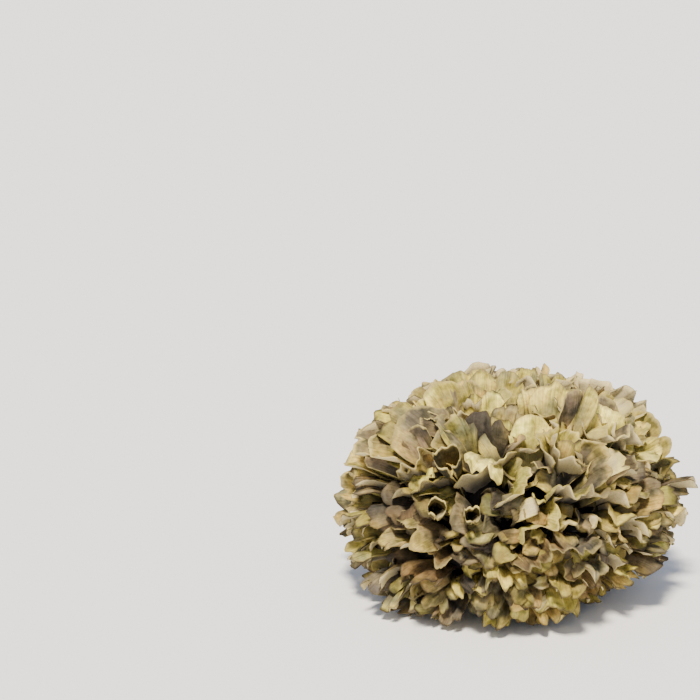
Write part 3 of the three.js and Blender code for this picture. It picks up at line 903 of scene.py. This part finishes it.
work_out(cap_tree, known, [
    # broad folds, with fine ones that grow towards the rim
    ("wave turn", NUMBER, "MULTIPLY_ADD", "wave_count", "u", "wave_phase"),
    ("wave sin", NUMBER, "SINE", "wave turn"),
    ("fine turn", NUMBER, "MULTIPLY", "wave turn", FINE_FOLDS),
    ("fine sin", NUMBER, "SINE", "fine turn"),
    ("fine", NUMBER, "MULTIPLY", "fine sin", "v"),
    ("waves", NUMBER, "MULTIPLY_ADD", "fine", "pleat", "wave sin"),
    ("waves 2", NUMBER, "MULTIPLY", "waves", "wave"),
    # neighbouring lobes lie one up, one down
    ("lobe side", NUMBER, "SIGN", "lobe cos"),
    ("lobe tilt", NUMBER, "MULTIPLY", "lobe side", "lobe"),
    ("lobe tilt 2", NUMBER, "MULTIPLY", "lobe tilt", "lobe step"),
    ("waves 3", NUMBER, "ADD", "waves 2", "lobe tilt 2"),
    # a crinkle where the rim is frayed
    ("crinkle", NUMBER, "MULTIPLY", "uneven", "wobble size"),
    ("crinkle 2", NUMBER, "MULTIPLY", "crinkle", "v"),
    ("waves 4", NUMBER, "ADD", "waves 3", "crinkle 2"),
    ("ripple", NUMBER, "MULTIPLY", "waves 4", "vv"),
    # the dish and the twist
    ("cupped", NUMBER, "MULTIPLY", "cup", "uu"),
    ("twisted", NUMBER, "MULTIPLY_ADD", "twist", "u", "cupped"),
    ("out wide", NUMBER, "MULTIPLY", "width", "v"),
    ("lift", NUMBER, "MULTIPLY_ADD", "twisted", "out wide", "ripple"),
    # the two faces stand apart, less at the rim
    ("thinning", NUMBER, "SUBTRACT", "rim thickness", "root thickness"),
    ("thickness", NUMBER, "MULTIPLY_ADD", "thinning", "v", "root thickness"),
    ("lift 2", NUMBER, "MULTIPLY_ADD", "thickness", "side", "lift"),
    # a blade that rolls up turns along a hoop, and a flat one along a hoop so large that it stays flat
    ("round", NUMBER, "MULTIPLY", "u", "roll_up"),
    ("round sin", NUMBER, "SINE", "round"),
    ("round cos", NUMBER, "COSINE", "round"),
    ("round rise", NUMBER, "SUBTRACT", 1.0, "round cos"),
    ("hoop", NUMBER, "DIVIDE", "width", "roll_up"),
    ("inset", NUMBER, "MULTIPLY", "round rise", "hoop"),
    ("lift 3", NUMBER, "ADD", "lift 2", "inset"),
    ("x", NUMBER, "MULTIPLY", "round sin", "hoop"),
])
known["flat place"] = add(cap_tree, "ShaderNodeCombineXYZ", {0: known["x"], 1: known["y"]}).outputs[0]

# %% The wobble of a cap and its rolled margin
WOBBLE_MM = 13  # soft dents of a blade
MARGIN_START = 0.72  # out from the root, where the margin starts to roll down

work_out(cap_tree, known, [
    ("soft place", VECTOR, "SCALE", "flat place", 1 / WOBBLE_MM),
    ("soft place 2", VECTOR, "ADD", "soft place", "own tint"),
])
known["soft"] = add(
    cap_tree, "ShaderNodeTexNoise", {"Vector": known["soft place 2"], "Scale": 1.0, "Detail": 1.5}
).outputs["Fac"]
work_out(cap_tree, known, [
    ("wobble", NUMBER, "SUBTRACT", "soft", 0.5),
    ("wobble 2", NUMBER, "MULTIPLY", "wobble", "wobble size"),
    ("wobble 3", NUMBER, "MULTIPLY", "wobble 2", "v"),
    ("lift 4", NUMBER, "ADD", "lift 3", "wobble 3"),
    ("rolled", NUMBER, "SUBTRACT", "v", MARGIN_START),
    ("rolled 2", NUMBER, "MAXIMUM", "rolled", 0.0),
    ("rolled 3", NUMBER, "MULTIPLY", "rolled 2", "rolled 2"),
    ("rolled 4", NUMBER, "MULTIPLY", "rolled 3", "roll size"),
    ("lift 5", NUMBER, "SUBTRACT", "lift 4", "rolled 4"),
])

# %% The bend of a cap, its place on the head, and the floor below it
work_out(cap_tree, known, [
    # the blade bends round its hub, and its lift is measured out from there
    ("y share", NUMBER, "DIVIDE", "y", "length"),
    ("turned", NUMBER, "SUBTRACT", 0.5, "y share"),
    ("bend", NUMBER, "MULTIPLY", "turned", "curl"),
    ("bend sin", NUMBER, "SINE", "bend"),
    ("bend cos", NUMBER, "COSINE", "bend"),
    ("arm", NUMBER, "ADD", "radius", "lift 5"),
    ("forward", NUMBER, "MULTIPLY", "arm", "bend sin"),
    ("rise", NUMBER, "MULTIPLY", "arm", "bend cos"),
    ("side step", VECTOR, "SCALE", "across", "x"),
    ("back step", VECTOR, "SCALE", "along", "forward"),
    ("up step", VECTOR, "SCALE", "up", "rise"),
    ("place", VECTOR, "ADD", "hub", "side step"),
    ("place 2", VECTOR, "SUBTRACT", "place", "back step"),
    ("place 3", VECTOR, "ADD", "place 2", "up step"),
])
cap_place = add(cap_tree, "ShaderNodeSeparateXYZ", {0: known["place 3"]})
known.update(zip(("px", "py", "pz"), cap_place.outputs))
work_out(cap_tree, known, [
    # a soft floor, as the feelers have it
    ("above", NUMBER, "SUBTRACT", "pz", FLOOR_GAP),
    ("squared", NUMBER, "MULTIPLY", "above", "above"),
    ("softened", NUMBER, "ADD", "squared", float(FLOOR_SOFTNESS ** 2)),
    ("far", NUMBER, "SQRT", "softened"),
    ("twice", NUMBER, "ADD", "above", "far"),
    ("kept up", NUMBER, "MULTIPLY_ADD", "twice", 0.5, FLOOR_GAP),
])
known["raised"] = add(
    cap_tree, "ShaderNodeCombineXYZ", {0: known["px"], 1: known["py"], 2: known["kept up"]}
).outputs[0]
work_out(cap_tree, known, [("metres", VECTOR, "SCALE", "raised", MM)])

# %% Skin on the upper face, pores below
moved = add(cap_tree, "GeometryNodeSetPosition", {"Geometry": real.outputs[0], "Position": known["metres"]})
smooth = add(cap_tree, "GeometryNodeSetShadeSmooth", {"Geometry": moved.outputs[0]})
skinned = add(cap_tree, "GeometryNodeSetMaterial", {"Geometry": smooth.outputs[0], "Material": given["Skin"]})
underneath = add(cap_tree, "FunctionNodeCompare", {0: known["side"], 1: -0.5}, operation="LESS_THAN")
pored = add(cap_tree, "GeometryNodeSetMaterial", {
    "Geometry": skinned.outputs[0], "Selection": underneath.outputs[0], "Material": given["Pores"],
})
add(cap_tree, "NodeGroupOutput", {0: pored.outputs[0]})
print("the cap tree has", len(cap_tree.nodes), "nodes")

# %% [markdown]
# ## From rule to mesh
#
# Each group of caps becomes a mesh of bare points that carry the caps' numbers. The tree runs on it as a
# modifier, the result is copied to a plain mesh, and the modifier goes. The group is then one piece that
# needs nothing from this notebook. The main caps are split by height, so no piece grows too large, and
# because caps are more lobed the lower they grow.

# %% Points that carry the caps' numbers
OWN_DRAWS = 6  # random numbers for each cap's own look: three for its tint, three for its lobes
FUNNEL_TURN = 3.0  # radians that each side of a funnel turns in
LIE_FLAT = 0.05  # nearly none, for every other cap
FUNNEL_DROP = 0.12  # a funnel's lip is nearly level, where a flat cap has sloping shoulders
FUNNEL_TINT = (-0.5, 0.4, 0.0)  # shade, hue and edge: painted shade, dark inside
FUNNEL_WAVE = 0.8  # mm
FAN_SHADES, FAN_HUES = (0.8, 1.0), (0.6, 0.92)  # of the bright caps
FAN_PLEAT, CAP_PLEAT = 1.2, 0.45  # fine folds, as a share of a cap's own wave
BROAD_FAN = 14  # half width in mm from which a bright cap is finely folded
STEEPEST_PLEAT = 0.6  # so that fine folds never stand up like a comb
LEAST_WAVE = 0.1  # mm, so that nothing is divided by a cap without a wave


def cap_points(name, caps, seed, lobes, notch, shades):
    """Bare points with all that the tree asks of each cap. Its blade bends round its hub."""
    count = len(caps["length"])
    numbers = random_numbers(seed, count * OWN_DRAWS).reshape(count, OWN_DRAWS)
    radius = caps["length"] / caps["curl"]
    half_curl = caps["curl"][:, None] / 2
    to_hub = caps["along"] * np.sin(half_curl) - caps["up"] * np.cos(half_curl)
    bright, rolled = caps["bright"], caps["rolled"]
    tint = numbers[:, :3]
    for column, fan_range, cap_range in (0, FAN_SHADES, shades), (1, FAN_HUES, (0, 1)):
        low, high = np.where(bright[:, None], fan_range, cap_range).T
        tint[:, column] = lerp(low, high, tint[:, column])
    # painted shade: funnels get a low shade, which paints their skin inside dark and their pores outside a
    # little darker
    tint[rolled] = FUNNEL_TINT
    folded = np.where(bright & (caps["half_width"] > BROAD_FAN), FAN_PLEAT, CAP_PLEAT)
    waves = caps["wave_count"] * np.maximum(caps["wave"], LEAST_WAVE)
    steepest = STEEPEST_PLEAT * caps["half_width"] / waves
    carried = {
        **caps,
        "hub": caps["root"] + radius[:, None] * to_hub,
        "radius": radius,
        "tint": tint,
        "wave": np.where(rolled, FUNNEL_WAVE, caps["wave"]),
        "pleat": np.minimum(folded, steepest),
        "drop": np.where(rolled, FUNNEL_DROP, SHOULDER_DROP),
        "lobes": np.where(rolled, 0.0, lerp(*lobes, numbers[:, 3])),
        "lobe_phase": np.where(rolled, 0.0, lerp(0, math.pi, numbers[:, 4])),
        "notch": lerp(*notch, numbers[:, 5]),
        "roll_up": np.where(rolled, FUNNEL_TURN, LIE_FLAT),
    }
    mesh = bpy.data.meshes.new(name)
    mesh.vertices.add(count)
    mesh.vertices.foreach_set("co", (caps["root"] * MM).ravel())
    for names, kind, key in ((CAP_NUMBERS, "FLOAT", "value"), (CAP_VECTORS, "FLOAT_VECTOR", "vector")):
        for title in names:
            layer = mesh.attributes.new(title, kind, "POINT")
            layer.data.foreach_set(key, np.ascontiguousarray(carried[title], dtype=np.float32).ravel())
    return bpy.data.objects.new(name, mesh)


# %% A tree run once
def set_plain(thing, tree, sockets, values):
    """Runs a tree on a thing once and leaves the result as a plain mesh."""
    modifier = thing.modifiers.new(tree.name, "NODES")
    modifier.node_group = tree
    for title, value in values.items():
        modifier[sockets[title]] = value
    bpy.context.collection.objects.link(thing)
    grown = thing.evaluated_get(bpy.context.evaluated_depsgraph_get())
    mesh = bpy.data.meshes.new_from_object(grown)
    thing.modifiers.clear()
    thing.data = mesh
    mesh.name = thing.name
    for title in CAP_NUMBERS + CAP_VECTORS:
        if title != "tint" and title in mesh.attributes:
            mesh.attributes.remove(mesh.attributes[title])
    mesh.calc_loop_triangles()
    print(thing.name, "has", len(mesh.loop_triangles), "triangles")
    return thing


# %% The main caps and the young ones
# thicknesses, wobble, rolled margin and lobe step in mm
MAIN_BLADE = {
    "Steps across": 31, "Steps out": 15, "Root half thickness": 2.0, "Rim half thickness": 0.32,
    "Wobble": 6.0, "Rolled margin": 20.0, "Lobe step": 2.2, "Skin": skin, "Pores": pores,
}
YOUNG_BLADE = {
    **MAIN_BLADE, "Steps across": 7, "Steps out": 5, "Root half thickness": 1.3, "Rim half thickness": 0.3,
    "Wobble": 2.5, "Rolled margin": 14.0, "Lobe step": 0.6,
}
MIDDLE_HEIGHT, CROWN_HEIGHT = 55, 105  # mm, above which tips belong to the middle and to the crown
tip_height = (main_caps["root"] + main_caps["along"] * main_caps["length"][:, None])[:, 2]
crown, hem = tip_height > CROWN_HEIGHT, tip_height <= MIDDLE_HEIGHT
# which caps, their seed, and the range of their lobes, notches and shades
groups = (
    ("crown_caps", crown, 11, (1.4, 3.2), (0.02, 0.2), (0, 0.85)),
    ("middle_caps", ~crown & ~hem, 12, (2.2, 4.4), (0.1, 0.36), (0, 1)),
    ("hem_caps", hem, 13, (2.4, 5.0), (0.14, 0.44), (0, 1)),
)
fungus = []
for name, chosen, *looks in groups:
    some = {title: value[chosen] for title, value in main_caps.items()}
    fungus.append(set_plain(cap_points(name, some, *looks), cap_tree, cap_sockets, MAIN_BLADE))
young = cap_points("young_caps", young_caps, 15, (1.0, 2.0), (0.0, 0.12), (0, 1))
fungus.append(set_plain(young, cap_tree, cap_sockets, YOUNG_BLADE))

# %% [markdown]
# ## The branched core and the cut foot
#
# Under the caps, a thick foot forks into short branches that fuse at the base. Tubes on a skeleton of
# edges would cross each other with hard seams, so the tubes and a lump are turned to a volume and back
# to one skin, which rounds every fork as flesh does. The foot is then cut off flat.

# %% The core's tree
LUMP_HEIGHT = 56  # mm, level of the lump's middle
FOOT_SWELL = 4  # mm that the fused skin adds to the foot's radius
FOOT_LENGTH, FOOT_MIDDLE = 60, 10  # mm, so that it starts below the cut and ends inside the lump
SKIN_BAND, SKIN_THRESHOLD = 8, 0.1  # mm of the volume inside the skin, and how dense the skin is
SWELLING_MM, SWELLING_HEIGHT = 22, 14  # lumps of the flesh, and how far they stand in or out
CUT_AT_FLOOR = (-1.0, -1.0, 0.0)  # m, the lowest x, y and z that are left
CORE_INPUTS = [
    ("Branch radius", "NodeSocketFloat"),
    ("Lump", "NodeSocketVector"),
    ("Voxel", "NodeSocketFloat"),
    ("Flesh", "NodeSocketMaterial"),
]

core_tree, core_sockets, given = new_tree("fuse the core", CORE_INPUTS)
limbs = add(core_tree, "GeometryNodeCurveToMesh", {
    "Curve": add(core_tree, "GeometryNodeMeshToCurve", {0: given["Geometry"]}).outputs[0],
    "Profile Curve": add(
        core_tree, "GeometryNodeCurvePrimitiveCircle", {"Resolution": 12, "Radius": given["Branch radius"]}
    ).outputs[0],
    "Fill Caps": True,
})
ball = add(core_tree, "GeometryNodeMeshIcoSphere", {"Radius": 1.0, "Subdivisions": 4})
lump = add(core_tree, "GeometryNodeTransform", {
    "Geometry": ball.outputs["Mesh"], "Translation": (0.0, 0.0, LUMP_HEIGHT * MM), "Scale": given["Lump"],
})
foot = add(core_tree, "GeometryNodeTransform", {
    "Geometry": add(core_tree, "GeometryNodeMeshCylinder", {
        "Vertices": 48, "Radius": (FOOT_RADIUS - FOOT_SWELL) * MM, "Depth": FOOT_LENGTH * MM,
    }).outputs["Mesh"],
    "Translation": (0.0, 0.0, FOOT_MIDDLE * MM),
})
joined = add(core_tree, "GeometryNodeJoinGeometry")
for part in (limbs, lump, foot):
    core_tree.links.new(part.outputs[0], joined.inputs[0])
cloud = add(core_tree, "GeometryNodeMeshToVolume", {
    "Mesh": joined.outputs[0], "Density": 1.0, "Voxel Size": given["Voxel"],
    "Interior Band Width": SKIN_BAND * MM,
}, resolution_mode="VOXEL_SIZE")
fused = add(core_tree, "GeometryNodeVolumeToMesh", {
    "Volume": cloud.outputs[0], "Voxel Size": given["Voxel"], "Threshold": SKIN_THRESHOLD, "Adaptivity": 0.0,
}, resolution_mode="VOXEL_SIZE")

# %% The core's lumps and its flat cut
core_place = add(core_tree, "GeometryNodeInputPosition").outputs[0]
swellings = add(core_tree, "ShaderNodeTexNoise", {
    "Vector": core_place, "Scale": METRE_MM / SWELLING_MM, "Detail": 2.0,
})
known = {"place": core_place, "noise": swellings.outputs["Color"]}
work_out(core_tree, known, [
    ("centred", VECTOR, "SUBTRACT", "noise", (0.5, 0.5, 0.5)),
    ("swell", VECTOR, "SCALE", "centred", SWELLING_HEIGHT * MM),
    ("lumpy", VECTOR, "ADD", "place", "swell"),
    ("cut flat", VECTOR, "MAXIMUM", "lumpy", CUT_AT_FLOOR),
])
shaped = add(core_tree, "GeometryNodeSetPosition", {
    "Geometry": fused.outputs[0], "Position": known["cut flat"],
})
rounded = add(core_tree, "GeometryNodeSetShadeSmooth", {"Geometry": shaped.outputs[0]})
fleshed = add(core_tree, "GeometryNodeSetMaterial", {
    "Geometry": rounded.outputs[0], "Material": given["Flesh"],
})
add(core_tree, "NodeGroupOutput", {0: fleshed.outputs[0]})
print("the core's tree has", len(core_tree.nodes), "nodes")

# %% The core
FORK_HEIGHT = 20  # mm, where the branches leave the foot
LUMP_SIZE_MM = (78, 75, 62)  # from its middle, along X, Y and Z
forks = np.concatenate([[(0, 0, FORK_HEIGHT)], branch_bases]) * MM
skeleton = bpy.data.meshes.new("core")
skeleton.from_pydata([tuple(fork) for fork in forks], [(0, i) for i in range(1, len(forks))], [])
fungus.append(set_plain(bpy.data.objects.new("core", skeleton), core_tree, core_sockets, {
    "Branch radius": 11 * MM, "Lump": [n * MM for n in LUMP_SIZE_MM], "Voxel": 2.5 * MM, "Flesh": flesh,
}))

# %% [markdown]
# ## Handing the pieces over
#
# Every piece stands for the one solid head and rides on its body. The head grew as one, so one piece
# could do, but it would be too large, and the flesh of the core differs from the caps.

# %% What each piece stands for
for piece in fungus:
    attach(piece, "root")
    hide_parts("maitake_head")
print(len(fungus), "pieces:", ", ".join(piece.name for piece in fungus))

# %% [markdown]
# ## Floor and light
#
# A plain white floor runs past the frame on every side. A softbox would need its size and distance
# matched to the head, so one wide sun does its work. It stands high, in front and slightly to the left,
# and shapes the caps. A pale blue sky fills the shade with a cool light, low enough that the gaps
# between the caps stay dark.

# %% The floor
FLOOR_REACH = 12  # metres

floor_mesh = bpy.data.meshes.new("floor")
corners = [(x * FLOOR_REACH, y * FLOOR_REACH, 0) for x, y in ((-1, -1), (1, -1), (1, 1), (-1, 1))]
floor_mesh.from_pydata(corners, [], [(0, 1, 2, 3)])
floor = bpy.data.objects.new("floor", floor_mesh)
paper, tree, shader = new_material("matt white paper", roughness=0.95, specular=0.1)
shader.inputs["Base Color"].default_value = linear("#F4F4F2")
floor.data.materials.append(paper)
bpy.context.collection.objects.link(floor)
print("the floor is", 2 * FLOOR_REACH, "m wide")

# %% The light
SUN_STRENGTH = 7.5
SUN_WIDTH_DEGREES = 10  # soft edges to the shadows
SUN_WAY = (0.12, 0.58, -1.0)  # the way its light travels
SKY_STRENGTH = 0.74

sun = bpy.data.objects.new("key_light", bpy.data.lights.new("key_light", "SUN"))
sun.data.energy = SUN_STRENGTH
sun.data.color = linear("#FFF4E2")[:3]
sun.data.angle = math.radians(SUN_WIDTH_DEGREES)
sun.rotation_euler = Vector(SUN_WAY).to_track_quat("-Z", "Y").to_euler()
bpy.context.collection.objects.link(sun)

world = bpy.data.worlds.new("pale sky")
bpy.context.scene.world = world
world.use_nodes = True
sky = world.node_tree.nodes["Background"]
sky.inputs["Color"].default_value = linear("#CFDEFF")
sky.inputs["Strength"].default_value = SKY_STRENGTH
sun_height = math.degrees(math.atan2(-SUN_WAY[2], math.hypot(*SUN_WAY[:2])))
print("the sun stands", round(sun_height), "degrees up")
